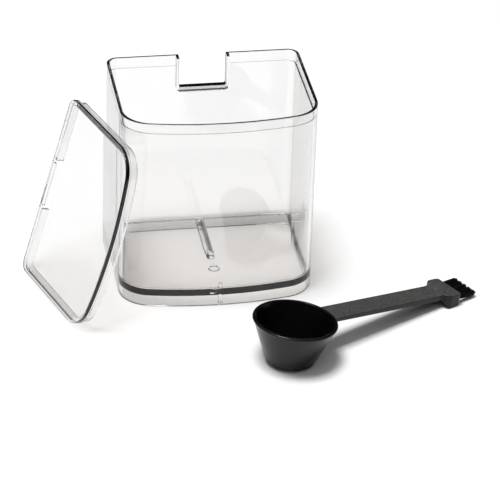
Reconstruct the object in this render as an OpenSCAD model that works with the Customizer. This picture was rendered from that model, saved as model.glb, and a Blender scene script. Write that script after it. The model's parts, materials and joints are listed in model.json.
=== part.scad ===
// Clear grind chamber of a burr coffee grinder, with its lid leaning on it and a scoop that
// carries a cleaning brush. Millimetres. The origin is the centre of the chamber's base.

/* [Chamber] */
// Outside width of the chamber
chamber_w = 112; // [100:1:124]
// Outside depth of the chamber's straight side, from its back face
chamber_d = 78.5; // [70:0.5:90]
// Outside height of the chamber
chamber_h = 118; // [112:1:135]
// Outside radius of the two front corners
front_corner_r = 18.8; // [14:0.2:23]
// Outside radius of the two back corners
back_corner_r = 6.6; // [6:0.2:10]

/* [Chamber wall] */
// Thickness of the wall at the rim, above the ledge
rim_wall = 1.8; // [1.4:0.1:2.4]
// How far the ledge stands in from the rim's inner face
ledge_w = 0.5; // [0.3:0.1:0.8]
// Depth of the ledge below the rim
ledge_depth = 6.4; // [6:0.1:10]
// Radius of the rim's and the foot's edges
rim_edge_r = 0.5; // [0.3:0.05:0.6]
// Thickness of the floor plate
floor_t = 3.6; // [2.6:0.1:4]
// Height of the open skirt under the floor plate
skirt_h = 6.2; // [5:0.1:9]
// Radius of the fillet between the floor and the walls
floor_fillet_r = 2.5; // [1.5:0.1:3]

/* [Chute notch] */
// Width of the notch in the back wall that the chute drops into
notch_w = 27.6; // [22:0.2:34]
// Depth of the notch below the rim
notch_depth = 19.8; // [14:0.2:26]
// Radius of the notch's lower corners
notch_corner_r = 1; // [0.6:0.1:2]
// Thickness of the guide round the notch
guide_t = 1.6; // [1.2:0.1:2.2]
// How far the guide reaches into the chamber, from the back face
guide_d = 6.4; // [4:0.2:9]

/* [Interlock ridge] */
// Outside radius of the hollow ridge on the floor
ridge_r = 2.65; // [2.2:0.05:2.9]
// Radius of the channel under the ridge
channel_r = 1.2; // [0.8:0.05:1.4]
// Clear distance from the ridge's back end to the back wall
ridge_back_gap = 2.3; // [1:0.1:4]
// Length of the hollow ridge
ridge_l = 36.5; // [30:0.5:42]
// Radius of the solid nose in front of the ridge
nose_r = 2.3; // [1.6:0.1:2.6]
// Length of the solid nose
nose_l = 6.5; // [4:0.5:8]
// Outside radius of the small moulded ring in front of the nose
ring_r = 3.3; // [2.4:0.1:4]
// Distance from the nose's tip to the ring's centre
ring_gap = 10.5; // [8:0.5:13]
// Height of the ring above the floor
ring_h = 1; // [0.6:0.1:1.4]
// Radius of the centring rib inside the front wall
rib_r = 1.1; // [0.7:0.1:1.3]
// Height of the centring rib above the floor
rib_rise = 4; // [2:0.5:8]

/* [Lid] */
// Thickness of the lid's plate
lid_t = 3.3; // [2.6:0.1:4]
// Radius of the plate's upper edge
lid_edge_r = 0.8; // [0.4:0.1:1.2]
// How far the plate's edge stands in from the chamber's outside
lid_inset = 1; // [0.6:0.1:1.2]
// Height of the plug that fits inside the rim
plug_h = 4.7; // [3.5:0.1:5.6]
// Thickness of the plug's wall
plug_t = 1.8; // [1.2:0.1:2.4]
// Clearance between the plug and the rim, all round
plug_gap = 0.3; // [0.2:0.05:0.4]
// How far the tab drops into the chute notch
tab_drop = 1.35; // [0.8:0.05:3]
// Clearance at each side of the tab
tab_gap = 0.3; // [0.2:0.05:0.5]

/* [Lid stance] */
// Angle between the leaning lid and the table
lid_lean = 73; // [68:0.1:78]
// How far the leaning lid is turned from the chamber's side
lid_turn = 18.2; // [12:0.2:26]
// Where the chamber's corner meets the lid's upper edge, measured from the edge's middle
lid_touch = -13.4; // [-22:0.2:20]
// Gap left where the lid leans on the chamber
lean_gap = 0.35; // [0.3:0.05:0.5]

/* [Scoop bowl] */
// Outside radius of the bowl's rim
bowl_rim_r = 24; // [20:0.5:28]
// Outside radius of the bowl's foot
bowl_foot_r = 15; // [12:0.5:18]
// Height of the bowl from foot to rim
bowl_h = 24; // [20:0.2:32]
// Thickness of the bowl's wall
bowl_wall = 1.4; // [1.2:0.1:2.2]
// Thickness of the bowl's bottom
bowl_bottom = 2; // [1.5:0.1:3]
// How far the rim's lip stands out from the wall
lip_w = 0.4; // [0.3:0.1:1]
// Height of the rim's lip
lip_h = 1.5; // [1.2:0.1:2.4]
// Height of the narrow ring under the bowl
foot_h = 1.2; // [0.8:0.1:2]
// How far the narrow ring stands in from the wall
foot_inset = 0.6; // [0.3:0.1:1]
// Radius between the wall and the bottom inside the bowl
bowl_fillet_r = 3; // [2:0.1:5]

/* [Scoop handle] */
// Length of the handle from the rim to the brush head
handle_l = 82; // [70:1:100]
// Width of the handle at the bowl
handle_w = 14.4; // [12:0.2:17]
// Width of the handle at the brush head
handle_end_w = 13.4; // [11:0.2:15]
// Thickness of the handle at the bowl
handle_t = 2.3; // [1.8:0.1:3]
// Thickness of the handle at the brush head
handle_end_t = 3.2; // [2.4:0.1:4]
// How far the handle's upper face lies below the rim's plane where it leaves the bowl
handle_drop = 0.9; // [0.4:0.1:1.4]
// How far the handle slopes down from the rim's plane, in degrees
handle_droop = 2.3; // [1:0.1:4]

/* [Brush head] */
// Length of the head along the handle
head_l = 11.4; // [10.4:0.2:14]
// Width of the head across the handle
head_w = 21.2; // [20.6:0.2:23]
// Height of the head
head_h = 7.6; // [7.2:0.1:9]
// How far the head rises above the handle
head_rise = 1; // [0.6:0.1:1.6]
// Radius of the head's upper front edge
head_top_r = 1.2; // [0.6:0.1:1.8]
// Radius of the head's lower front edge, which the scoop stands on
head_foot_r = 3.2; // [2:0.1:3.4]
// Radius of the head's front corners, seen from above
head_corner_r = 3; // [2:0.1:4]
// Radius of the head's shoulders, seen from above
shoulder_r = 4.2; // [3:0.1:5]
// Radius between a shoulder and the handle, seen from above
shoulder_fillet_r = 1.4; // [0.6:0.1:2]
// Half the length over which the head's top and bottom blend into the handle
head_blend = 3.6; // [2:0.1:5]

/* [Bristles] */
// Radius of the blind holes that hold the tufts
hole_r = 1.5; // [1.2:0.05:1.55]
// Depth of the blind holes
hole_depth = 6; // [4:0.5:8]
// Distance between neighbouring tufts
tuft_pitch = 3.9; // [3.75:0.05:3.95]
// How far the tufts' centre line lies below the handle's upper face
tuft_drop = 2; // [1.8:0.1:2.4]
// Gap between a tuft and its hole
tuft_gap = 0.05; // [0.02:0.01:0.1]
// Radius of a tuft at its tips
tuft_tip_r = 1.75; // [1.4:0.05:1.85]
// Length of the bristles outside the head
bristle_l = 13; // [8:0.5:16]
// Thickness of the flat anchor that a tuft is folded over
anchor_t = 0.35; // [0.2:0.05:0.5]
// Width of an anchor across the head
anchor_w = 1.6; // [1.2:0.1:2]
// How far an anchor bites into the head above and below its hole
anchor_bite = 0.25; // [0.15:0.05:0.35]

/* [Scoop stance] */
// How far the scoop's centre lies to the right of the chamber's centre
scoop_x = 32; // [10:1:50]
// Clear distance from the chamber's front to the bowl's rim
scoop_gap = 35.9; // [20:0.1:60]
// How far the scoop's handle is turned towards the back
scoop_turn = 28; // [20:0.5:40]

/* [Hidden] */
$fn = 96;
eps = 0.01;
arc_steps = 8;
slope_steps = 12;
// The bow's and the front corners' centres span a right triangle with sides 20, 99 and 101, so
// both arcs meet at one point, and no place needs more than six digits
bow_rise = 99 / 20;
bow_reach = 101 / 20;
tuft_count = 5;

// The chamber's outline: straight back and sides, bowed front, four round corners
half_w = chamber_w / 2;
back_y = chamber_d / 2;
corner_x = half_w - front_corner_r;
bow_r = corner_x * bow_reach + front_corner_r;
corner_drop = sqrt(bow_r * bow_r - half_w * half_w) - corner_x * bow_rise;
corner_y = round((corner_drop - back_y) * 100) / 100;
bow_y = corner_y + corner_x * bow_rise;
front_y = bow_y - bow_r;
bow_angle = asin(1 / bow_reach);
seam_end = [corner_x * 1.2, bow_y - corner_x * bow_rise * 1.2];
back_corner_x = half_w - back_corner_r;
back_corner_y = back_y - back_corner_r;

// Heights and walls inside the chamber
wall_t = rim_wall + ledge_w;
floor_top = skirt_h + floor_t;
ledge_z = chamber_h - ledge_depth;
ledge_edge_r = 0.2;
floor_inset = wall_t / 2;
fillet_sink = 0.05;

// The ridge's places along Y, from its back end to the ring
ridge_z = floor_top - 0.3;
ridge_back_y = back_y - wall_t - ridge_back_gap - ridge_r;
ridge_front_y = ridge_back_y - ridge_l;
nose_y = ridge_front_y - nose_l;
ring_y = nose_y - ring_gap;
ring_wall = 0.9;
channel_z = floor_top - 0.8;
rib_foot = 0.6;

// The lid, seen with its plate's upper face at Z = 0, and where it stands: the lower edge of its
// plate or of its plug lies on the table, and the plug's upper edge leans on the chamber's round
// front corner
plug_inset = rim_wall + plug_gap;
plug_end = lid_t + plug_h;
tab_w = notch_w - 2 * tab_gap;
plug_break = notch_w + 2 * guide_t + 2 * tab_gap;
lid_reach = (chamber_w - plug_inset - lid_inset) * cos(lid_lean) + plug_end * sin(lid_lean)
    + front_corner_r + lean_gap;
lid_pos = [
    -corner_x - lid_reach * cos(lid_turn) + lid_touch * sin(lid_turn),
    corner_y - lid_reach * sin(lid_turn) - lid_touch * cos(lid_turn),
    max(
        lid_t * cos(lid_lean),
        plug_end * cos(lid_lean) - (plug_inset - lid_inset) * sin(lid_lean)
    )
];

// The scoop, seen with its rim's plane at Z = 0, and how far it tips to stand on its head
neck_x = sqrt(pow(bowl_rim_r, 2) - pow(handle_w / 2, 2)) - bowl_wall / 2;
head_x = handle_l + bowl_wall / 2;
head_face_x = head_x + head_l;
handle_end_x = head_x + (head_l - hole_depth) / 2;
head_bottom = head_rise - head_h;
heel_x = head_face_x - head_foot_r;
heel_z = head_bottom + head_foot_r;
heel = [
    neck_x + heel_x * cos(handle_droop) + heel_z * sin(handle_droop),
    -heel_x * sin(handle_droop) + heel_z * cos(handle_droop) - handle_drop
];
foot_r = bowl_foot_r - foot_inset;
heel_run = heel.x - foot_r;
heel_fall = heel.y + bowl_h;
scoop_tip = acos(head_foot_r / norm([heel_fall, heel_run])) - atan2(heel_run, heel_fall);
scoop_pos = [
    scoop_x,
    front_y - scoop_gap - bowl_rim_r,
    foot_r * sin(scoop_tip) + bowl_h * cos(scoop_tip)
];

// The tufts, in the head's own directions
tuft_r = hole_r - tuft_gap;
tuft_root = hole_depth - tuft_gap - anchor_t;

// Points round an arc
function arc(c, r, a0, a1) = [
    for (i = [0:arc_steps])
        let (a = a0 + (a1 - a0) * i / arc_steps)
            c + r * [cos(a), sin(a)]
];

// The chamber's outline, moved in by inset
function outline(inset) = concat(
    arc([back_corner_x, back_corner_y], back_corner_r - inset, 0, 90),
    arc([-back_corner_x, back_corner_y], back_corner_r - inset, 90, 180),
    arc([-corner_x, corner_y], front_corner_r - inset, 180, 270 - bow_angle),
    arc([0, bow_y], bow_r - inset, 270 - bow_angle, 270 + bow_angle),
    arc([corner_x, corner_y], front_corner_r - inset, 270 + bow_angle, 360)
);

// Points from p to q on a smooth slope that is level at both ends
function slope(p, q) = [
    for (i = [0:slope_steps])
        [
            p.x + (q.x - p.x) * i / slope_steps,
            p.y + (q.y - p.y) * (1 - cos(180 * i / slope_steps)) / 2
        ]
];

// How far tuft number i stands to the side of the handle's centre line
function tuft_y(i) = (i - (tuft_count + 1) / 2) * tuft_pitch;

// Sweeps a profile round the chamber's outline: X in the profile is the distance in from the
// outside, and Y is the height
module sweep_outline() {
    for (side = [0, 1])
        mirror([side, 0, 0]) {
            translate([half_w, back_corner_y, 0])
                rotate([90, 0, 0])
                    linear_extrude(back_corner_y - corner_y)
                        mirror([1, 0]) children();
            translate([back_corner_x, back_corner_y, 0])
                rotate_extrude(angle = 90)
                    translate([back_corner_r, 0]) mirror([1, 0]) children();
            intersection() {
                translate([corner_x, corner_y, 0])
                    rotate([0, 0, 180])
                        rotate_extrude()
                            translate([front_corner_r, 0]) mirror([1, 0]) children();
                tall_prism([
                    [corner_x, corner_y], seam_end, [chamber_w, seam_end.y], [chamber_w, corner_y]
                ]);
            }
        }
    translate([-back_corner_x, back_y, 0])
        rotate([90, 0, 90])
            linear_extrude(2 * back_corner_x)
                mirror([1, 0]) children();
    intersection() {
        translate([0, bow_y, 0])
            rotate_extrude($fn = 360)
                translate([bow_r, 0]) mirror([1, 0]) children();
        tall_prism([[0, bow_y], [-seam_end.x, seam_end.y], seam_end]);
    }
}

// A prism that is taller than the chamber and reaches below it
module tall_prism(points) {
    translate([0, 0, -chamber_h]) linear_extrude(3 * chamber_h) polygon(points);
}

// An upright bar in a profile, with round edges at both ends
module round_bar(x0, x1, z0, z1, r) {
    translate([x0 + r, z0]) square([x1 - x0 - 2 * r, z1 - z0]);
    translate([x0, z0 + r]) square([x1 - x0, z1 - z0 - 2 * r]);
    for (x = [x0 + r, x1 - r], z = [z0 + r, z1 - r])
        translate([x, z]) circle(r, $fn = 32);
}

// The chamber wall's profile: rim, ledge, floor fillet and foot
module wall_profile() {
    round_bar(0, rim_wall, ledge_z - 2 * wall_t, chamber_h, rim_edge_r);
    round_bar(0, wall_t, 0, ledge_z - wall_t, rim_edge_r);
    round_bar(rim_wall / 2, wall_t, ledge_z - 2 * wall_t, ledge_z, ledge_edge_r);
    translate([wall_t - eps, floor_top - eps])
        difference() {
            square(floor_fillet_r - fillet_sink + eps);
            translate([1, 1] * (floor_fillet_r - fillet_sink + eps)) circle(floor_fillet_r, $fn = 48);
        }
}

// The notch seen from behind, wider and lower by grow, and open upwards by rise
module notch_outline(grow, rise) {
    low = chamber_h - notch_depth - grow;
    wide = notch_w + 2 * grow;
    r = notch_corner_r + grow;
    translate([-wide / 2, low + r]) square([wide, notch_depth + grow + rise - r]);
    translate([-wide / 2 + r, low]) square([wide - 2 * r, notch_depth]);
    for (x = [-1, 1] * (wide / 2 - r))
        translate([x, low + r]) circle(r, $fn = 48);
}

// The solid block that the guide round the notch is cut from
module guide_block() {
    translate([0, back_y - rim_wall / 2, 0])
        rotate([90, 0, 0])
            linear_extrude(guide_d - rim_wall / 2) notch_outline(guide_t, 0);
}

// The notch that the chute drops into, cut through the back wall and its guide from the rim
module chute_notch() {
    translate([0, back_y + 1, 0])
        rotate([90, 0, 0])
            linear_extrude(guide_d + 2) notch_outline(0, 1);
}

// A round bar along Y with a ball at its back end
module ridge_bar(r, y0, y1, z) {
    translate([0, y1, z]) rotate([90, 0, 0]) cylinder(r = r, h = y1 - y0, $fn = 48);
    translate([0, y1, z]) sphere(r = r, $fn = 48);
}

// What stands up from the chamber's floor on its centre line
module floor_ridge() {
    intersection() {
        union() {
            ridge_bar(ridge_r, ridge_front_y, ridge_back_y, ridge_z);
            mirror([0, 1, 0]) ridge_bar(nose_r, -ridge_front_y - 1, -nose_y - nose_r, ridge_z);
        }
        translate([-ridge_r - 1, -half_w, skirt_h + floor_t / 2])
            cube([2 * ridge_r + 2, chamber_w, floor_t + ridge_r]);
    }
    translate([0, ring_y, floor_top - eps])
        difference() {
            cylinder(r = ring_r, h = ring_h, $fn = 48);
            translate([0, 0, -1]) cylinder(r = ring_r - ring_wall, h = ring_h + 2, $fn = 48);
        }
}

// The channel under the ridge that the grinder's interlock pin runs in
module pin_channel() {
    ridge_bar(channel_r, ridge_front_y + channel_r, ridge_back_y, channel_z);
    translate([0, ridge_front_y + channel_r, channel_z]) sphere(r = channel_r, $fn = 48);
    translate([-channel_r, ridge_front_y + channel_r, skirt_h - 1])
        cube([2 * channel_r, ridge_back_y - ridge_front_y - channel_r, channel_z - skirt_h + 1]);
}

module grind_chamber() {
    color([0.86, 0.90, 0.92, 0.5])
        difference() {
            union() {
                sweep_outline() wall_profile();
                translate([0, 0, skirt_h]) linear_extrude(floor_t) polygon(outline(floor_inset));
                floor_ridge();
                guide_block();
                translate([0, front_y + wall_t, rib_foot])
                    cylinder(r = rib_r, h = floor_top + rib_rise - rib_foot, $fn = 48);
            }
            chute_notch();
            pin_channel();
        }
}

// The edge of the lid's plate, with a round upper edge and a sharp lower one
module plate_profile() {
    wide = plug_inset + plug_t - lid_inset;
    translate([lid_inset, -lid_t]) square([wide, lid_t - lid_edge_r]);
    translate([lid_inset + lid_edge_r, -lid_t]) square([wide - lid_edge_r, lid_t]);
    translate([lid_inset + lid_edge_r, -lid_edge_r]) circle(lid_edge_r, $fn = 48);
}

module plug_profile() {
    translate([plug_inset, -plug_end]) square([plug_t, plug_h + lid_t / 2]);
}

// The lid as it would lie on the chamber, with its upper face at Z = 0
module flat_lid() {
    sweep_outline() plate_profile();
    translate([0, 0, -lid_t]) linear_extrude(lid_t) polygon(outline(plug_inset));
    difference() {
        sweep_outline() plug_profile();
        translate([-plug_break / 2, 0, -plug_end - 1]) cube([plug_break, chamber_d, plug_h + 1]);
    }
    translate([-tab_w / 2, back_y - lid_inset - wall_t, -lid_t - tab_drop])
        cube([tab_w, wall_t, tab_drop + lid_t / 2]);
}

module chamber_lid() {
    color([0.90, 0.93, 0.94, 0.5])
        translate(lid_pos)
            rotate([0, 0, lid_turn])
                rotate([0, -lid_lean, 0])
                    translate([half_w - lid_inset, 0, 0]) flat_lid();
}

// Places what is made in the scoop's own directions
module stand_scoop() {
    translate(scoop_pos) rotate([0, 0, scoop_turn]) rotate([0, scoop_tip, 0]) children();
}

// Places what is made in the handle's own directions, from the bowl's rim outwards
module along_handle() {
    translate([neck_x, 0, -handle_drop]) rotate([0, handle_droop, 0]) children();
}

// The outside of the bowl, as a half profile
module bowl_outside() {
    rim_r = bowl_rim_r - lip_w;
    translate([0, -lip_h]) square([bowl_rim_r - lip_h / 2, lip_h]);
    translate([bowl_rim_r - lip_h / 2, -lip_h / 2]) circle(lip_h / 2, $fn = 32);
    polygon([
        [0, -lip_h / 2], [rim_r, -lip_h / 2], [bowl_foot_r, -bowl_h + foot_h],
        [foot_r, -bowl_h + foot_h], [foot_r, -bowl_h], [0, -bowl_h]
    ]);
}

// The inside of the bowl, as a half profile, with a round foot
module bowl_inside() {
    top_r = bowl_rim_r - lip_w - bowl_wall;
    low_r = bowl_foot_r - bowl_wall;
    low_z = -bowl_h + bowl_bottom;
    flare = atan2(top_r - low_r, -low_z);
    ball_z = low_z + bowl_fillet_r;
    ball_x = low_r + bowl_fillet_r * (tan(flare) - 1 / cos(flare));
    polygon(concat(
        [[0, 1], [top_r + tan(flare), 1]],
        arc([ball_x, ball_z], bowl_fillet_r, -flare, -90),
        [[0, low_z]]
    ));
}

// The handle seen from above, wider at the bowl than at the brush head
module handle_plan() {
    polygon([
        [-bowl_wall, -handle_w / 2], [handle_end_x, -handle_end_w / 2],
        [handle_end_x, handle_end_w / 2], [-bowl_wall, handle_w / 2]
    ]);
}

// The handle: a flat bar that widens towards the bowl and thickens towards the brush
module handle_bar() {
    intersection() {
        translate([0, 0, -head_h]) linear_extrude(2 * head_h) handle_plan();
        rotate([90, 0, 0])
            translate([0, 0, -handle_w])
                linear_extrude(2 * handle_w)
                    polygon([
                        [-bowl_wall, 0], [handle_end_x, 0],
                        [handle_end_x, -handle_end_t], [-bowl_wall, -handle_t]
                    ]);
    }
}

// The head's side profile: it swells out of the handle, and its front edges are round
module head_side() {
    top_x = head_face_x - head_top_r;
    top_z = head_rise - head_top_r;
    polygon(concat(
        slope([head_x - head_blend, 0], [head_x + head_blend, head_rise]),
        [[top_x, head_rise], [top_x, top_z], [head_face_x, top_z]],
        [[head_face_x, heel_z], [heel_x, heel_z], [heel_x, head_bottom]],
        slope([head_x + head_blend, head_bottom], [head_x - head_blend, -handle_end_t / 2])
    ));
    translate([top_x, top_z]) circle(head_top_r, $fn = 48);
    translate([heel_x, heel_z]) circle(head_foot_r, $fn = 48);
}

// The head seen from above: round shoulders, and smaller corners round its front face
module head_plan() {
    shoulder = [head_x + shoulder_r, head_w / 2 - shoulder_r];
    corner = [head_face_x - head_corner_r, head_w / 2 - head_corner_r];
    translate([shoulder.x, -head_w / 2]) square([corner.x - shoulder.x, head_w]);
    translate([head_x, -shoulder.y]) square([head_l / 2, 2 * shoulder.y]);
    translate([head_x + head_l / 2, -corner.y]) square([head_l / 2, 2 * corner.y]);
    for (side = [-1, 1]) {
        translate([shoulder.x, side * shoulder.y]) circle(shoulder_r, $fn = 64);
        translate([corner.x, side * corner.y]) circle(head_corner_r, $fn = 48);
    }
    handle_plan();
    for (side = [0, 1])
        mirror([0, side]) shoulder_fillet(shoulder);
}

// Fills the inner corner between the handle's side and a shoulder, seen from above
module shoulder_fillet(shoulder) {
    out = handle_end_w / 2 + shoulder_fillet_r - shoulder.y;
    reach = shoulder_r + shoulder_fillet_r;
    mid = [shoulder.x - sqrt(reach * reach - out * out), shoulder.y + out];
    touch = mid + (shoulder - mid) * shoulder_fillet_r / reach;
    difference() {
        polygon([[mid.x, shoulder.y - 1], [mid.x, mid.y], touch, [shoulder.x, shoulder.y - 1]]);
        translate(mid) circle(shoulder_fillet_r, $fn = 48);
    }
}

module brush_head() {
    intersection() {
        rotate([90, 0, 0]) translate([0, 0, -head_w]) linear_extrude(2 * head_w) head_side();
        translate([0, 0, head_bottom - 1]) linear_extrude(head_h + 2) head_plan();
    }
}

// Puts its child at a tuft's place on the head's front face, pointing out along +X
module at_tuft(i) {
    translate([head_face_x, tuft_y(i), -tuft_drop]) children();
}

// A flat anchor across the bottom of a tuft's hole
module anchor() {
    translate([-hole_depth, -anchor_w / 2, -hole_r - anchor_bite])
        cube([anchor_t, anchor_w, 2 * (hole_r + anchor_bite)]);
}

module scoop() {
    color([0.10, 0.10, 0.10])
        stand_scoop() {
            difference() {
                union() {
                    rotate_extrude() bowl_outside();
                    along_handle() handle_bar();
                }
                rotate_extrude() bowl_inside();
            }
            along_handle()
                difference() {
                    brush_head();
                    for (i = [1:tuft_count])
                        at_tuft(i) {
                            translate([-hole_depth, 0, 0])
                                rotate([0, 90, 0]) cylinder(r = hole_r, h = hole_depth + 1, $fn = 48);
                            anchor();
                        }
                }
        }
}

// One tuft: a bundle of bristles, straight in its hole and fanned out towards the tips
module tuft(i) {
    color([0.03, 0.03, 0.03])
        stand_scoop() along_handle() at_tuft(i) {
            translate([-tuft_root, 0, 0])
                rotate([0, 90, 0]) cylinder(r = tuft_r, h = tuft_root + eps, $fn = 48);
            rotate([0, 90, 0]) cylinder(r1 = tuft_r, r2 = tuft_tip_r, h = bristle_l, $fn = 48);
        }
}

// The flat metal anchors at the bottom of the holes, one to a tuft
module tuft_anchors() {
    color([0.75, 0.62, 0.30])
        stand_scoop() along_handle()
            for (i = [1:tuft_count])
                at_tuft(i) anchor();
}

grind_chamber();
chamber_lid();
scoop();
tuft(1);  // tuft_1
tuft(2);  // tuft_2
tuft(3);  // tuft_3
tuft(4);  // tuft_4
tuft(5);  // tuft_5
tuft_anchors();
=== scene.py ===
"""Looks for a clear grind chamber, its lid, and a coffee scoop with a cleaning brush."""

import json
import math
import random

import bpy
import numpy as np
from mathutils import Matrix, Vector


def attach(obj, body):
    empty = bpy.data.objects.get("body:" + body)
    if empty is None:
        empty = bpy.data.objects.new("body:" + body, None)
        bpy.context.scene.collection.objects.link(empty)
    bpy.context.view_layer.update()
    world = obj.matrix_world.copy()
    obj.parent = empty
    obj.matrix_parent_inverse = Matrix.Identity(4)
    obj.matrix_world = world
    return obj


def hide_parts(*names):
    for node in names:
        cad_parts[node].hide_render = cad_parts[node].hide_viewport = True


bl_info = {
    "name": "Grind chamber set",
    "version": (1, 0, 0),
    "blender": (4, 5, 0),
    "location": "3D View > Sidebar > Grind chamber",
    "description": "Clear chamber and lid, black scoop, brush bristles and a small studio",
    "category": "Add Mesh",
}

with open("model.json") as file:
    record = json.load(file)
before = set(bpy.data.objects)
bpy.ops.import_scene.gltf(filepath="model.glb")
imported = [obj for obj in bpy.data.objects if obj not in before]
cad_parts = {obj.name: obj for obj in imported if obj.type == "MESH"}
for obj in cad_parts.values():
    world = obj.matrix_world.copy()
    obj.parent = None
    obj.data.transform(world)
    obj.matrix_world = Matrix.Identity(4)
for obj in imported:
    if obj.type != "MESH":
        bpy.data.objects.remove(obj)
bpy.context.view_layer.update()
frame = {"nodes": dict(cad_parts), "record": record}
CLEAR_PIECES = ("grind_chamber", "chamber_lid")
TUFTS = sorted(name for name in frame["nodes"] if name.startswith("tuft_") and name[5:].isdigit())

# The camera, in degrees and metres: turn from +Y, height above the floor, roll, aim and distance
CAMERA_TURN = -10.497
CAMERA_HEIGHT = 30.98
CAMERA_ROLL = 1.943
CAMERA_AIM = (0.02488, 0.0, 0.00709)
CAMERA_DISTANCE = 1.7865
# Its focal length and sensor width, in millimetres, and how far it sees, in metres
CAMERA_LENS = 219.85
CAMERA_SENSOR = 36.0
CAMERA_CLIP = 30.0

# How many clear faces, and how many other turns, a ray may take before it is dropped
CLEAR_PASSES = 32
RAY_TURNS = 16

# The soft box above the set: its place, what it faces and its size, in metres
KEY_PLACE = (-0.42, -0.22, 2.4)
KEY_AIM = (0.02, -0.03, 0.04)
KEY_SIZE = (0.85, 0.85)
# The room brightens from its walls to its ceiling between these sines of the height above the floor
CEILING_HEIGHTS = (0.53, 0.70)

# The floor lies this far below the pieces that stand on it, in metres
FLOOR_GAP = 0.00002
# How rough and how glossy its paper is
FLOOR_ROUGHNESS = 0.9
FLOOR_GLOSS = 0.1

# The middle of a noise that runs from 0 to 1
NOISE_MIDDLE = 0.5
# How many directions a rounded edge is averaged over
EDGE_SAMPLES = 6
# The places of a Mix node's sockets for colours: its share, its two ends and its result
MIX_SHARE = 0
MIX_LOW = 6
MIX_HIGH = 7
MIX_COLOUR = 2

# Clear plastic: the sizes of its flow waves, haze, scuffs and the upright streak marks of its painted
# shade, in metres. A scale below 1 draws the marks out along that axis
FLOW_SIZE = 0.030
FLOW_SCALE = (1.0, 1.0, 0.45)
FLOW_DEPTH = 0.0004
HAZE_SIZE = 0.006
SCUFF_SIZE = 0.0009
SCUFF_SCALE = (1.0, 1.0, 0.06)
SHADE_STREAK_SIZE = 0.004
SHADE_STREAK_SCALE = (1.0, 1.0, 0.02)
# How much the haze and the scuffs blur it, and how sparse they are
HAZE_BLUR = 0.03
HAZE_POWER = 3
SCUFF_BLUR = 0.02
SCUFF_POWER = 6
# How late the painted shade sets in as the plastic turns edge-on, how much of it there is, and how
# much more in a streak mark
SLANT_POWER = 4
SLANT_LEAST = 0.35
SLANT_SHADE_STREAKS = 1.6

# Black plastic: the sizes of its grain, sink marks and rub marks, in metres
GRAIN_SIZE = 0.0009
GRAIN_DEPTH = 0.00010
SINK_SIZE = 0.012
SINK_DEPTH = 0.0003
SINK_STRENGTH = 0.25
RUB_SIZE = 0.004
RUB_SCALE = (1.0, 0.4, 1.0)
# The scoop is polished up to this distance from the middle of its bowl, in metres, and the etching
# sets in this quickly past it, per metre
BOWL_REACH = 0.0247
ETCH_RISE = 1500.0
# Only faces that look up are etched; the sides, undersides and rounded top edges of the handle and
# head keep the darker polished colour as painted shade: the upward part of their direction, and how
# quickly it counts
SHADE_UPWARD = 0.75
SHADE_UPWARD_RISE = 6.0
# The noise past which a rub mark or a pale fleck shows, and how quickly it does
RUB_START = 0.52
RUB_RISE = 4.0
FLECK_START = 0.36
FLECK_RISE = 3.4
# How much a rub mark shows on etched and on polished plastic
ETCHED_RUB = 0.2
POLISHED_RUB = 0.06
# How much each mark changes the blur of the etched and of the polished plastic
ETCHED_SINK_BLUR = 0.10
ETCHED_GRAIN_BLUR = 0.10
ETCHED_RUB_BLUR = 0.04
POLISHED_SINK_BLUR = 0.08
POLISHED_RUB_BLUR = 0.05
BLACK_IOR = 1.50
BLACK_GLOSS = 0.31

# Nylon: the size of the dust on it, in metres, how much a bristle and the dust change its colour,
# and its blur with what they add to that
DUST_SIZE = 0.0006
EACH_SHADE = 0.8
DUST_SHADE = 0.3
NYLON_ROUGHNESS = 0.42
EACH_BLUR = 0.20
DUST_BLUR = 0.10
NYLON_IOR = 1.53
NYLON_GLOSS = 0.12

# Brass: its bright and dull colours, and the sizes of its drawing lines and cast, in metres
BRIGHT_BRASS = (0.78, 0.60, 0.27)
DULL_BRASS = (0.50, 0.37, 0.18)
DRAWING_SIZE = 0.0002
DRAWING_SCALE = (1.0, 1.0, 0.08)
DRAWING_DEPTH = 0.00002
DRAWING_STRENGTH = 0.3
CAST_SIZE = 0.0015
BRASS_ROUGHNESS = 0.28
DRAWING_BLUR = 0.15
CAST_BLUR = 0.10

# Each bristle is a tube with this many sides and rings
BRISTLE_SIDES = 6
BRISTLE_RINGS = 6
GOLDEN_ANGLE = math.pi * (3 - math.sqrt(5))
# How far a tuft fans out at its tips across the brush, and up and down, against its hole
FANS = (1.0, 0.95)
# The share of a tuft's length at either end that gives its radius there
TUFT_END = 0.05
# A tuft's reach as a share of its length, and its lean to the side and up, in tip radii
TUFT_REACH = (0.97, 1.0)
LEAN_ASIDE = (-0.25, 0.25)
LEAN_UP = (0.0, 0.3)
# A bristle's turn out of its place, in radians, its thickness against the common one, and how far
# it strays and bows, in tip radii
BRISTLE_TURN = (-0.2, 0.2)
BRISTLE_WEIGHT = (0.85, 1.1)
BRISTLE_STRAY = 0.07
BRISTLE_BOW = (-0.12, 0.12)
# How unevenly the shortest bristles fall, and how late the dome, the bend and the taper set in
RAGGED_POWER = 2
DOME_POWER = 3
BEND_POWER = 1.5
TAPER_POWER = 4
# How much thinner a bristle is at its tip
TIP_TAPER = 0.3
# The lowest bristles bend where they meet the table, and stay this far above it, in metres
TABLE_GAP = 0.00005


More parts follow.
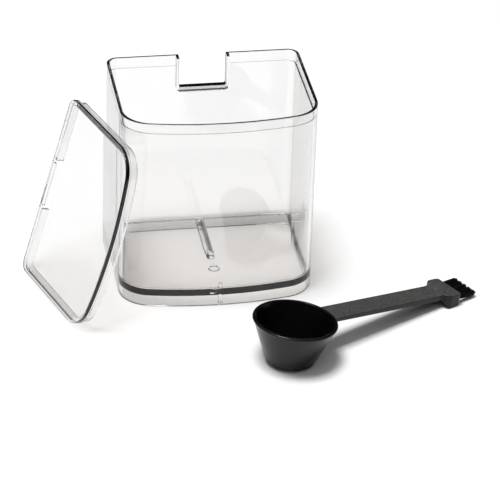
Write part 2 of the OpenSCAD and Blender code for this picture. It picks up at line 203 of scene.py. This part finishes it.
class Value:
    """A shader socket that takes part in Python arithmetic: each operation adds a Math node."""

    def __init__(self, tree, socket):
        self.tree = tree
        self.socket = socket

    def _math(self, operation, left, right):
        return self.tree.node("ShaderNodeMath", {"operation": operation}, {0: left, 1: right}).out()

    def __add__(self, other):
        return self._math("ADD", self, other)

    def __radd__(self, other):
        return self._math("ADD", other, self)

    def __sub__(self, other):
        return self._math("SUBTRACT", self, other)

    def __rsub__(self, other):
        return self._math("SUBTRACT", other, self)

    def __mul__(self, other):
        return self._math("MULTIPLY", self, other)

    def __rmul__(self, other):
        return self._math("MULTIPLY", other, self)

    def __pow__(self, other):
        return self._math("POWER", self, other)

    def clamped(self):
        """The value held between 0 and 1."""
        held = {"operation": "ADD", "use_clamp": True}
        return self.tree.node("ShaderNodeMath", held, {0: self, 1: 0.0}).out()

    def risen(self, start, rise):
        """How far the value is past start, times rise, held between 0 and 1."""
        return ((self - start) * rise).clamped()


class Node:
    """A node in a material, whose outputs come as values."""

    def __init__(self, tree, node):
        self.tree = tree
        self.node = node

    def out(self, name=0):
        return Value(self.tree, self.node.outputs[name])


class Finish:
    """A material, or a world, whose nodes are added one call at a time."""

    def __init__(self, name, world=None):
        self.material = world or bpy.data.materials.new(name)
        self.material.use_nodes = True
        self.nodes = self.material.node_tree.nodes
        self.links = self.material.node_tree.links
        self.nodes.clear()

    def node(self, kind, settings=None, inputs=None):
        """Adds a node: its settings first, then the value or link of each socket."""
        made = self.nodes.new(kind)
        for key, value in (settings or {}).items():
            setattr(made, key, value)
        for key, value in (inputs or {}).items():
            if isinstance(value, Value):
                self.links.new(value.socket, made.inputs[key])
            else:
                made.inputs[key].default_value = value
        return Node(self, made)

    def place(self, scale=(1.0, 1.0, 1.0)):
        """The place on the piece in metres, stretched by scale."""
        place = self.node("ShaderNodeTexCoord").out("Object")
        return self.node("ShaderNodeMapping", {}, {"Vector": place, "Scale": scale}).out()

    def noise(self, size, detail=2.0, roughness=0.5, scale=(1.0, 1.0, 1.0)):
        """Noise from 0 to 1 whose features are about size metres across."""
        sockets = {
            "Vector": self.place(scale),
            "Scale": 1.0 / size,
            "Detail": detail,
            "Roughness": roughness,
        }
        return self.node("ShaderNodeTexNoise", {}, sockets).out("Fac")

    def eased(self, radius):
        """A normal that turns smoothly over each sharp edge, from radius metres away."""
        return self.node("ShaderNodeBevel", {"samples": EDGE_SAMPLES}, {"Radius": radius}).out()

    def bump(self, height, strength, depth, under=None):
        """A normal from a height, at most depth metres deep, over the normal under it."""
        sockets = {"Height": height, "Strength": strength, "Distance": depth}
        if under is not None:
            sockets["Normal"] = under
        return self.node("ShaderNodeBump", {}, sockets).out("Normal")

    def between(self, low, high, share):
        """The colour share of the way from low to high, each of them a colour or a value."""
        ends = [end if isinstance(end, Value) else (*end, 1.0) for end in (low, high)]
        sockets = {MIX_SHARE: share, MIX_LOW: ends[0], MIX_HIGH: ends[1]}
        return self.node("ShaderNodeMix", {"data_type": "RGBA"}, sockets).out(MIX_COLOUR)

    def principled(self, sockets):
        """A solid surface, from the values or links of its sockets."""
        return self.node("ShaderNodeBsdfPrincipled", {}, sockets).out("BSDF")

    def passing(self, colour):
        """A face that light passes straight through and is tinted by."""
        return self.node("ShaderNodeBsdfTransparent", {}, {"Color": (*colour, 1.0)}).out()

    def blended(self, first, second, share):
        """The shader share of the way from first to second."""
        return self.node("ShaderNodeMixShader", {}, {0: share, 1: first, 2: second}).out()

    def end(self, surface):
        """Sends a shader to the material's output and returns the material."""
        self.node("ShaderNodeOutputMaterial", {}, {"Surface": surface})
        return self.material


def wear(piece, material):
    """Puts one material in every slot of a piece, or in a new slot where it has none."""
    if not piece.material_slots:
        piece.data.materials.append(material)
    for slot in piece.material_slots:
        slot.material = material


def clear_moulding(name, settings):
    """Clear plastic with a flow wave and a haze of use, darker in upright streak marks where it is
    seen along its surface: partly the longer path through the plastic, partly painted shade for the
    dark room that it reflects there.
    """
    finish = Finish(name)
    flow = finish.noise(FLOW_SIZE, detail=1.0, roughness=0.4, scale=FLOW_SCALE)
    haze = finish.noise(HAZE_SIZE, detail=5.0, roughness=0.6)
    scuffs = finish.noise(SCUFF_SIZE, scale=SCUFF_SCALE)
    blur = settings.roughness + HAZE_BLUR * (haze ** HAZE_POWER) + SCUFF_BLUR * (scuffs ** SCUFF_POWER)
    wave = finish.bump(flow, settings.wave, FLOW_DEPTH, finish.eased(settings.edge_round))
    # Painted shade: as a wall turns edge-on, its colour darkens towards the slanting tint, more in
    # each upright streak mark. This stands in partly for the longer path through the plastic and
    # partly for the dark room reflected in it
    shade_streaks = finish.noise(SHADE_STREAK_SIZE, scale=SHADE_STREAK_SCALE)
    facing = finish.node("ShaderNodeLayerWeight", {}, {"Blend": 0.5}).out("Facing")
    slant = (facing ** SLANT_POWER * (SLANT_LEAST + SLANT_SHADE_STREAKS * shade_streaks)).clamped()
    body = finish.principled({
        "Base Color": finish.between(settings.tint, settings.slant_tint_and_shade, slant),
        "Roughness": blur.clamped(),
        "IOR": settings.ior,
        "Transmission Weight": 1.0,
        "Normal": wave,
    })
    # Light on its way to or from the floor goes straight through: most of it where it meets a face
    # square on, and little of it where it skims along one
    rays = finish.node("ShaderNodeLightPath")
    lighting = (rays.out("Is Shadow Ray") + rays.out("Is Diffuse Ray")).clamped()
    skimmed = finish.blended(body, finish.passing(settings.slant_shade), lighting)
    straight = finish.passing(settings.shade)
    return finish.end(finish.blended(skimmed, straight, lighting * (1 - slant)))


def bowl_middle():
    """The middle of the scoop's bowl, seen from above, from the space that it keeps open."""
    boxes = [
        opening["box_m"]
        for opening in frame["record"]["physics"]["openings"]
        if opening["name"].startswith("bowl_")
    ]
    if not boxes:
        raise RuntimeError("the record keeps no space open in the bowl")
    return tuple(np.mean([np.mean(box, axis=0)[:2] for box in boxes], axis=0)) + (0.0,)


def black_moulding(settings):
    """Black plastic: a polished bowl, and a handle and head etched on top with rub marks, their sides,
    undersides and top edges painted darker as shade.
    """
    finish = Finish("black_moulding_finish")
    place = finish.node("ShaderNodeTexCoord").out("Object")
    level = {"Vector": place, "Location": tuple(-c for c in bowl_middle()), "Scale": (1.0, 1.0, 0.0)}
    offset = finish.node("ShaderNodeMapping", {"vector_type": "POINT"}, level).out()
    reach = finish.node("ShaderNodeVectorMath", {"operation": "LENGTH"}, {0: offset}).out("Value")
    eased = finish.eased(settings.edge_round)
    upward = finish.node("ShaderNodeSeparateXYZ", {}, {0: eased}).out("Z")
    # Painted shade: the etched top is the scoop's own finish. Keeping it to faces and rounded edges
    # that look up leaves the sides, undersides and a thin line along the top edges of the handle and
    # head in the darker polished colour
    etched = reach.risen(BOWL_REACH, ETCH_RISE) * upward.risen(SHADE_UPWARD, SHADE_UPWARD_RISE)
    grain = finish.noise(GRAIN_SIZE, detail=4.0, roughness=0.7)
    sinks = finish.noise(SINK_SIZE)
    rubs = finish.noise(RUB_SIZE, detail=4.0, roughness=0.65, scale=RUB_SCALE)
    rubbed = rubs.risen(RUB_START, RUB_RISE)
    flecks = grain.risen(FLECK_START, FLECK_RISE)
    paled = (flecks + rubbed * ETCHED_RUB).clamped()
    matte = finish.between(settings.colour, settings.fleck_colour, paled)
    polished = finish.between(settings.bowl_and_shade_colour, settings.colour, rubbed * POLISHED_RUB)
    matte_blur = (
        settings.roughness
        + ETCHED_SINK_BLUR * (sinks - NOISE_MIDDLE)
        + ETCHED_GRAIN_BLUR * (grain - NOISE_MIDDLE)
        - ETCHED_RUB_BLUR * rubbed
    )
    polished_blur = (
        settings.bowl_roughness
        + POLISHED_SINK_BLUR * (sinks - NOISE_MIDDLE)
        + POLISHED_RUB_BLUR * rubbed
    )
    blur = polished_blur * (1 - etched) + matte_blur * etched
    relief = finish.bump(grain * etched, settings.grain, GRAIN_DEPTH, eased)
    relief = finish.bump(sinks, SINK_STRENGTH, SINK_DEPTH, relief)
    body = finish.principled({
        "Base Color": finish.between(polished, matte, etched),
        "Roughness": blur.clamped(),
        "IOR": BLACK_IOR,
        "Specular IOR Level": BLACK_GLOSS,
        "Normal": relief,
    })
    return finish.end(body)


def bristle_nylon(settings):
    """Black nylon filament, each bristle a little lighter or darker, with a soft sheen."""
    finish = Finish("bristle_finish")
    each = finish.node("ShaderNodeNewGeometry").out("Random Per Island")
    dust = finish.noise(DUST_SIZE, detail=3.0, roughness=0.6)
    shade = (each * EACH_SHADE + dust * DUST_SHADE).clamped()
    blur = NYLON_ROUGHNESS + EACH_BLUR * each + DUST_BLUR * dust
    body = finish.principled({
        "Base Color": finish.between(settings.colour, settings.light_colour, shade),
        "Roughness": blur.clamped(),
        "IOR": NYLON_IOR,
        "Specular IOR Level": NYLON_GLOSS,
    })
    return finish.end(body)


def anchor_brass():
    """Flat drawn brass wire, with drawing lines along it and a dull cast."""
    finish = Finish("anchor_finish")
    lines = finish.noise(DRAWING_SIZE, scale=DRAWING_SCALE)
    cast = finish.noise(CAST_SIZE, detail=3.0, roughness=0.6)
    blur = BRASS_ROUGHNESS + DRAWING_BLUR * lines + CAST_BLUR * cast
    body = finish.principled({
        "Base Color": finish.between(BRIGHT_BRASS, DULL_BRASS, cast),
        "Metallic": 1.0,
        "Roughness": blur.clamped(),
        "Normal": finish.bump(lines, DRAWING_STRENGTH, DRAWING_DEPTH),
    })
    return finish.end(body)


def tuft_shape(node):
    """A tuft's root end, direction, length and end radii, read from its CAD solid."""
    points = np.array([vertex.co for vertex in frame["nodes"][node].data.vertices], float)
    middle = points.mean(0)
    axis = np.linalg.svd(points - middle, full_matrices=False)[2][0]
    if axis[0] < 0:
        axis = -axis
    along = (points - middle) @ axis
    off = np.linalg.norm(points - middle - np.outer(along, axis), axis=1)
    root = along.min()
    length = along.max() - root
    root_r = off[along < root + TUFT_END * length].max()
    tip_r = off[along > root + (1.0 - TUFT_END) * length].max()
    return middle + axis * root, axis, length, root_r, tip_r


def bristle_tube(path, radii, turn, across):
    """The corners and faces of one bristle: a closed tube along a path, between two directions."""
    corners = []
    for point, radius in zip(path, radii):
        for side in range(BRISTLE_SIDES):
            angle = turn + 2 * math.pi * side / BRISTLE_SIDES
            outward = math.cos(angle) * across[0] + math.sin(angle) * across[1]
            corners.append(point + radius * outward)
    faces = [tuple(range(BRISTLE_SIDES))[::-1]]
    for ring in range(len(path) - 1):
        for side in range(BRISTLE_SIDES):
            low = ring * BRISTLE_SIDES
            high = low + BRISTLE_SIDES
            beside = (side + 1) % BRISTLE_SIDES
            faces.append((low + side, low + beside, high + beside, high + side))
    last = (len(path) - 1) * BRISTLE_SIDES
    faces.append(tuple(range(last, last + BRISTLE_SIDES)))
    return corners, faces


def bristle_bundle(node, settings, rng):
    """The bristles of one tuft: straight in the hole, fanned and ragged at the tips."""
    root, axis, length, root_r, tip_r = tuft_shape(node)
    first = np.cross(axis, (0.0, 0.0, 1.0))
    first /= np.linalg.norm(first)
    second = np.cross(first, axis)
    corners = []
    faces = []
    hole = settings.hidden_share * length
    reach = length * rng.uniform(*TUFT_REACH)
    aside = rng.uniform(*LEAN_ASIDE) * tip_r
    upward = (rng.uniform(*LEAN_UP) + settings.lift) * tip_r
    lean = np.array([aside, upward])
    for index in range(settings.count):
        share = math.sqrt((index + 0.5) / settings.count)
        angle = index * GOLDEN_ANGLE + rng.uniform(*BRISTLE_TURN)
        spot = np.array([math.cos(angle), math.sin(angle)]) * share
        thick = 0.5 * settings.thickness * rng.uniform(*BRISTLE_WEIGHT)
        short = settings.ragged * rng.random() ** RAGGED_POWER
        tip = reach * (1.0 - short - settings.dome * share ** DOME_POWER)
        stray = np.array([rng.gauss(0, BRISTLE_STRAY), rng.gauss(0, BRISTLE_STRAY)]) * tip_r
        bow = rng.uniform(*BRISTLE_BOW) * tip_r
        path = []
        radii = []
        for ring in range(BRISTLE_RINGS):
            depth = ring / (BRISTLE_RINGS - 1) * tip
            out = max(depth - hole, 0.0) / (length - hole)
            spread = (root_r - thick) * (1.0 + (np.array(FANS) * settings.fan - 1.0) * out)
            flat = spot * spread + (stray + lean) * out ** BEND_POWER
            flat[1] += bow * math.sin(math.pi * out)
            point = root + axis * depth + first * flat[0] + second * flat[1]
            point[2] = max(point[2], thick + TABLE_GAP)
            path.append(point)
            radii.append(thick * (1.0 - TIP_TAPER * out ** TAPER_POWER))
        made, joined = bristle_tube(path, radii, angle, (first, second))
        start = len(corners)
        corners.extend(made)
        faces.extend(tuple(start + corner for corner in face) for face in joined)
    mesh = bpy.data.meshes.new(node + "_bristles")
    mesh.from_pydata([tuple(corner) for corner in corners], [], faces)
    mesh.polygons.foreach_set("use_smooth", [len(face) == 4 for face in faces])
    mesh.update()
    piece = bpy.data.objects.new(node + "_bristles", mesh)
    bpy.context.scene.collection.objects.link(piece)
    return piece


class ClearPlasticSettings(bpy.types.PropertyGroup):
    """The clear plastic of the chamber and its lid"""

    tint: bpy.props.FloatVectorProperty(
        name="Tint",
        description="Colour that the clear plastic lets through",
        default=(0.921, 0.917, 0.915),
        size=3,
        min=0.0,
        max=1.0,
        subtype="COLOR",
    )
    shade: bpy.props.FloatVectorProperty(
        name="Shade",
        description="Colour of the light that passes one face on its way to the floor",
        default=(0.985, 0.974, 0.964),
        size=3,
        min=0.0,
        max=1.0,
        subtype="COLOR",
    )
    # Painted shade: the colour that a wall darkens to where it is seen edge-on. It stands in partly
    # for the longer path through the plastic and partly for the dark room reflected in it
    slant_tint_and_shade: bpy.props.FloatVectorProperty(
        name="Slanting tint",
        description="Tint where the clear plastic is seen along its surface",
        default=(0.09, 0.085, 0.08),
        size=3,
        min=0.0,
        max=1.0,
        subtype="COLOR",
    )
    slant_shade: bpy.props.FloatVectorProperty(
        name="Slanting shade",
        description="Shade of the light that passes one face along its surface",
        default=(0.25, 0.25, 0.25),
        size=3,
        min=0.0,
        max=1.0,
        subtype="COLOR",
    )
    edge_round: bpy.props.FloatProperty(
        name="Edge round",
        description="How far from a sharp edge the surface begins to turn",
        default=0.0006,
        min=0.0,
        max=0.002,
        unit="LENGTH",
    )
    roughness: bpy.props.FloatProperty(
        name="Roughness",
        description="Blur of the clear plastic where it is clean",
        default=0.004,
        min=0.0,
        max=0.2,
        subtype="FACTOR",
    )
    ior: bpy.props.FloatProperty(
        name="Bend",
        description="Refractive index of the clear plastic",
        default=1.52,
        min=1.3,
        max=1.7,
    )
    wave: bpy.props.FloatProperty(
        name="Flow wave",
        description="Strength of the long waves that moulding leaves in a flat wall",
        default=0.12,
        min=0.0,
        max=1.0,
        subtype="FACTOR",
    )


class ScoopSettings(bpy.types.PropertyGroup):
    """The black plastic of the scoop"""

    colour: bpy.props.FloatVectorProperty(
        name="Colour",
        description="Colour of the etched handle and head between their flecks",
        default=(0.012, 0.012, 0.0117),
        size=3,
        min=0.0,
        max=1.0,
        subtype="COLOR",
    )
    fleck_colour: bpy.props.FloatVectorProperty(
        name="Fleck colour",
        description="Colour of the pale flecks and rub marks on the handle and head",
        default=(0.082, 0.082, 0.079),
        size=3,
        min=0.0,
        max=1.0,
        subtype="COLOR",
    )
    # Painted shade: this colour also darkens the sides, undersides and top edges of the handle and
    # head
    bowl_and_shade_colour: bpy.props.FloatVectorProperty(
        name="Bowl colour",
        description="Colour of the polished bowl",
        default=(0.0010, 0.0010, 0.0010),
        size=3,
        min=0.0,
        max=1.0,
        subtype="COLOR",
    )
    # Also sets the width of the painted shade line along the top edges of the handle and head
    edge_round: bpy.props.FloatProperty(
        name="Edge round",
        description="How far from a sharp edge the surface begins to turn",
        default=0.0006,
        min=0.0,
        max=0.002,
        unit="LENGTH",
    )
    bowl_roughness: bpy.props.FloatProperty(
        name="Bowl roughness",
        description="Blur of the polished bowl",
        default=0.22,
        min=0.05,
        max=1.0,
        subtype="FACTOR",
    )
    roughness: bpy.props.FloatProperty(
        name="Roughness",
        description="Blur of the etched handle and head",
        default=0.50,
        min=0.05,
        max=1.0,
        subtype="FACTOR",
    )
    grain: bpy.props.FloatProperty(
        name="Grain",
        description="Strength of the etched grain",
        default=0.35,
        min=0.0,
        max=1.0,
        subtype="FACTOR",
    )


class BristleSettings(bpy.types.PropertyGroup):
    """The bristles of the brush"""

    colour: bpy.props.FloatVectorProperty(
        name="Colour",
        description="Colour of the darkest bristles",
        default=(0.0012, 0.0012, 0.0012),
        size=3,
        min=0.0,
        max=1.0,
        subtype="COLOR",
    )
    light_colour: bpy.props.FloatVectorProperty(
        name="Light colour",
        description="Colour of the lightest bristles",
        default=(0.0045, 0.0045, 0.0045),
        size=3,
        min=0.0,
        max=1.0,
        subtype="COLOR",
    )
    count: bpy.props.IntProperty(
        name="Bristles",
        description="Bristles in one tuft",
        default=84,
        min=12,
        max=160,
    )
    thickness: bpy.props.FloatProperty(
        name="Thickness",
        description="Diameter of one bristle",
        default=0.00034,
        min=0.0001,
        max=0.0006,
        precision=5,
        unit="LENGTH",
    )
    fan: bpy.props.FloatProperty(
        name="Fan",
        description="Width of a tuft at its tips against its width at the hole",
        default=1.50,
        min=1.0,
        max=2.0,
    )
    lift: bpy.props.FloatProperty(
        name="Lift",
        description="How far use has bent the tips up, as a share of a tuft's tip radius",
        default=0.25,
        min=0.0,
        max=1.0,
        subtype="FACTOR",
    )
    dome: bpy.props.FloatProperty(
        name="Dome",
        description="How much shorter the outer bristles of a tuft are than its middle ones",
        default=0.11,
        min=0.0,
        max=0.5,
        subtype="FACTOR",
    )
    ragged: bpy.props.FloatProperty(
        name="Raggedness",
        description="How much shorter than its tuft a bristle may be",
        default=0.06,
        min=0.0,
        max=0.5,
        subtype="FACTOR",
    )
    hidden_share: bpy.props.FloatProperty(
        name="Hidden share",
        description="Share of a tuft's length that lies in its hole",
        default=0.30,
        min=0.1,
        max=0.6,
        subtype="FACTOR",
    )
    seed: bpy.props.IntProperty(
        name="Seed",
        description="Start of the random draws for the bristles",
        default=7,
        min=0,
    )


class StudioSettings(bpy.types.PropertyGroup):
    """The floor and the light"""

    floor_colour: bpy.props.FloatVectorProperty(
        name="Floor",
        description="Colour of the floor",
        default=(0.86, 0.86, 0.86),
        size=3,
        min=0.0,
        max=1.0,
        subtype="COLOR",
    )
    floor_size: bpy.props.FloatProperty(
        name="Floor size",
        description="Width and depth of the floor",
        default=9.0,
        min=1.0,
        max=40.0,
        unit="LENGTH",
    )
    room: bpy.props.FloatProperty(
        name="Room light",
        description="Brightness of the room at the height of the table",
        default=0.05,
        min=0.0,
        max=3.0,
    )
    ceiling: bpy.props.FloatProperty(
        name="Ceiling light",
        description="Brightness of the white ceiling above the set",
        default=0.74,
        min=0.0,
        max=3.0,
    )
    key_power: bpy.props.FloatProperty(
        name="Key light",
        description="Power of the soft box above the set, in watts",
        default=58.0,
        min=0.0,
        max=2000.0,
    )


class GRIND_OT_clear_mouldings(bpy.types.Operator):
    """Gives the chamber and its lid their clear plastic"""

    bl_idname = "grind_chamber.clear_mouldings"
    bl_label = "Clear chamber and lid"

    def execute(self, context):
        settings = context.scene.clear_plastic
        for node in CLEAR_PIECES:
            wear(frame["nodes"][node], clear_moulding(node + "_finish", settings))
        return {"FINISHED"}


class GRIND_OT_scoop(bpy.types.Operator):
    """Gives the scoop its black moulded finish"""

    bl_idname = "grind_chamber.scoop"
    bl_label = "Scoop"

    def execute(self, context):
        wear(frame["nodes"]["scoop"], black_moulding(context.scene.scoop_plastic))
        return {"FINISHED"}


class GRIND_OT_bristles(bpy.types.Operator):
    """Builds the bristles of each tuft in place of its plain solid"""

    bl_idname = "grind_chamber.bristles"
    bl_label = "Brush bristles"

    def execute(self, context):
        if not TUFTS:
            raise RuntimeError("the frame holds no tufts")
        settings = context.scene.brush_bristles
        rng = random.Random(settings.seed)
        nylon = bristle_nylon(settings)
        for node in TUFTS:
            piece = bristle_bundle(node, settings, rng)
            wear(piece, nylon)
            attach(piece, "scoop")
            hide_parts(node)
        return {"FINISHED"}


class GRIND_OT_anchors(bpy.types.Operator):
    """Gives the tufts' hidden anchors their brass"""

    bl_idname = "grind_chamber.anchors"
    bl_label = "Tuft anchors"

    def execute(self, context):
        wear(frame["nodes"]["tuft_anchors"], anchor_brass())
        return {"FINISHED"}


def soft_panel(name, place, aim, size, power):
    """A flat soft light that faces a point and isn't seen itself."""
    lamp = bpy.data.lights.new(name, "AREA")
    lamp.shape = "RECTANGLE"
    lamp.size, lamp.size_y = size
    lamp.energy = power
    panel = bpy.data.objects.new(name, lamp)
    panel.location = place
    panel.rotation_euler = (Vector(aim) - Vector(place)).to_track_quat("-Z", "Y").to_euler()
    panel.visible_camera = False
    bpy.context.scene.collection.objects.link(panel)


def studio_room(settings):
    """A room with a white ceiling over dark walls, so that clear edges stay dark."""
    room = bpy.data.worlds.new("room")
    finish = Finish("room", room)
    direction = finish.node("ShaderNodeTexCoord").out("Generated")
    height = finish.node("ShaderNodeSeparateXYZ", {}, {0: direction}).out("Z")
    share = finish.node(
        "ShaderNodeMapRange",
        {"interpolation_type": "SMOOTHSTEP"},
        {"Value": height, "From Min": CEILING_HEIGHTS[0], "From Max": CEILING_HEIGHTS[1]},
    ).out("Result")
    dark = finish.node("ShaderNodeBackground", {}, {"Strength": settings.room}).out()
    bright = finish.node("ShaderNodeBackground", {}, {"Strength": settings.ceiling}).out()
    finish.node("ShaderNodeOutputWorld", {}, {"Surface": finish.blended(dark, bright, share)})
    return room


class GRIND_OT_studio(bpy.types.Operator):
    """Adds the floor, the soft light and the camera"""

    bl_idname = "grind_chamber.studio"
    bl_label = "Studio"

    def execute(self, context):
        settings = context.scene.studio
        self.add_floor(settings)
        self.add_light(context, settings)
        self.add_camera(context)
        return {"FINISHED"}

    def add_floor(self, settings):
        """A wide sheet of pale paper just under the set."""
        half = settings.floor_size / 2
        mesh = bpy.data.meshes.new("floor")
        ground = [(-half, -half, 0.0), (half, -half, 0.0), (half, half, 0.0), (-half, half, 0.0)]
        mesh.from_pydata(ground, [], [(0, 1, 2, 3)])
        floor = bpy.data.objects.new("floor", mesh)
        floor.location.z = -FLOOR_GAP
        bpy.context.scene.collection.objects.link(floor)
        finish = Finish("floor_finish")
        paper = finish.principled({
            "Base Color": (*settings.floor_colour, 1.0),
            "Roughness": FLOOR_ROUGHNESS,
            "Specular IOR Level": FLOOR_GLOSS,
        })
        wear(floor, finish.end(paper))

    def add_light(self, context, settings):
        """The room and the soft box, with enough ray turns for the clear walls."""
        context.scene.world = studio_room(settings)
        soft_panel("key_light", KEY_PLACE, KEY_AIM, KEY_SIZE, settings.key_power)
        context.scene.view_settings.view_transform = "Standard"
        context.scene.cycles.transparent_max_bounces = CLEAR_PASSES
        context.scene.cycles.max_bounces = RAY_TURNS
        context.scene.cycles.transmission_bounces = RAY_TURNS

    def add_camera(self, context):
        """The camera, turned round the set, raised, rolled and aimed by the values above."""
        turn = math.radians(CAMERA_TURN)
        height = math.radians(CAMERA_HEIGHT)
        back = Vector((
            math.sin(turn) * math.cos(height),
            -math.cos(turn) * math.cos(height),
            math.sin(height),
        ))
        right = (-back).cross(Vector((0.0, 0.0, 1.0))).normalized()
        up = back.cross(right)
        roll = math.radians(CAMERA_ROLL)
        across = math.cos(roll) * right + math.sin(roll) * up
        top = math.cos(roll) * up - math.sin(roll) * right
        place = Vector(CAMERA_AIM) + back * CAMERA_DISTANCE
        lens = bpy.data.cameras.new("camera")
        lens.sensor_width = CAMERA_SENSOR
        lens.lens = CAMERA_LENS
        lens.clip_end = CAMERA_CLIP
        camera = bpy.data.objects.new("camera", lens)
        camera.matrix_world = Matrix((across, top, back)).transposed().to_4x4()
        camera.matrix_world.translation = place
        context.scene.collection.objects.link(camera)
        context.scene.camera = camera


class GRIND_PT_panel(bpy.types.Panel):
    """Lists the set's pieces and their settings"""

    bl_idname = "GRIND_PT_panel"
    bl_label = "Grind chamber"
    bl_space_type = "VIEW_3D"
    bl_region_type = "UI"
    bl_category = "Grind chamber"

    def draw(self, context):
        for name, operators in PANEL_ROWS:
            box = self.layout.box()
            settings = getattr(context.scene, name)
            for key in settings.__annotations__:
                box.prop(settings, key)
            for operator in operators:
                box.operator(operator)


PANEL_ROWS = (
    ("clear_plastic", (GRIND_OT_clear_mouldings.bl_idname,)),
    ("scoop_plastic", (GRIND_OT_scoop.bl_idname,)),
    ("brush_bristles", (GRIND_OT_bristles.bl_idname, GRIND_OT_anchors.bl_idname)),
    ("studio", (GRIND_OT_studio.bl_idname,)),
)
SETTINGS = (
    ("clear_plastic", ClearPlasticSettings),
    ("scoop_plastic", ScoopSettings),
    ("brush_bristles", BristleSettings),
    ("studio", StudioSettings),
)
CLASSES = (
    ClearPlasticSettings,
    ScoopSettings,
    BristleSettings,
    StudioSettings,
    GRIND_OT_clear_mouldings,
    GRIND_OT_scoop,
    GRIND_OT_bristles,
    GRIND_OT_anchors,
    GRIND_OT_studio,
    GRIND_PT_panel,
)


def register():
    for made in CLASSES:
        bpy.utils.register_class(made)
    for name, group in SETTINGS:
        setattr(bpy.types.Scene, name, bpy.props.PointerProperty(type=group))


def unregister():
    for name, _ in SETTINGS:
        delattr(bpy.types.Scene, name)
    for made in reversed(CLASSES):
        bpy.utils.unregister_class(made)


def main():
    register()
    bpy.ops.grind_chamber.studio()
    bpy.ops.grind_chamber.clear_mouldings()
    bpy.ops.grind_chamber.scoop()
    bpy.ops.grind_chamber.anchors()
    bpy.ops.grind_chamber.bristles()


if __name__ == "__main__":
    main()
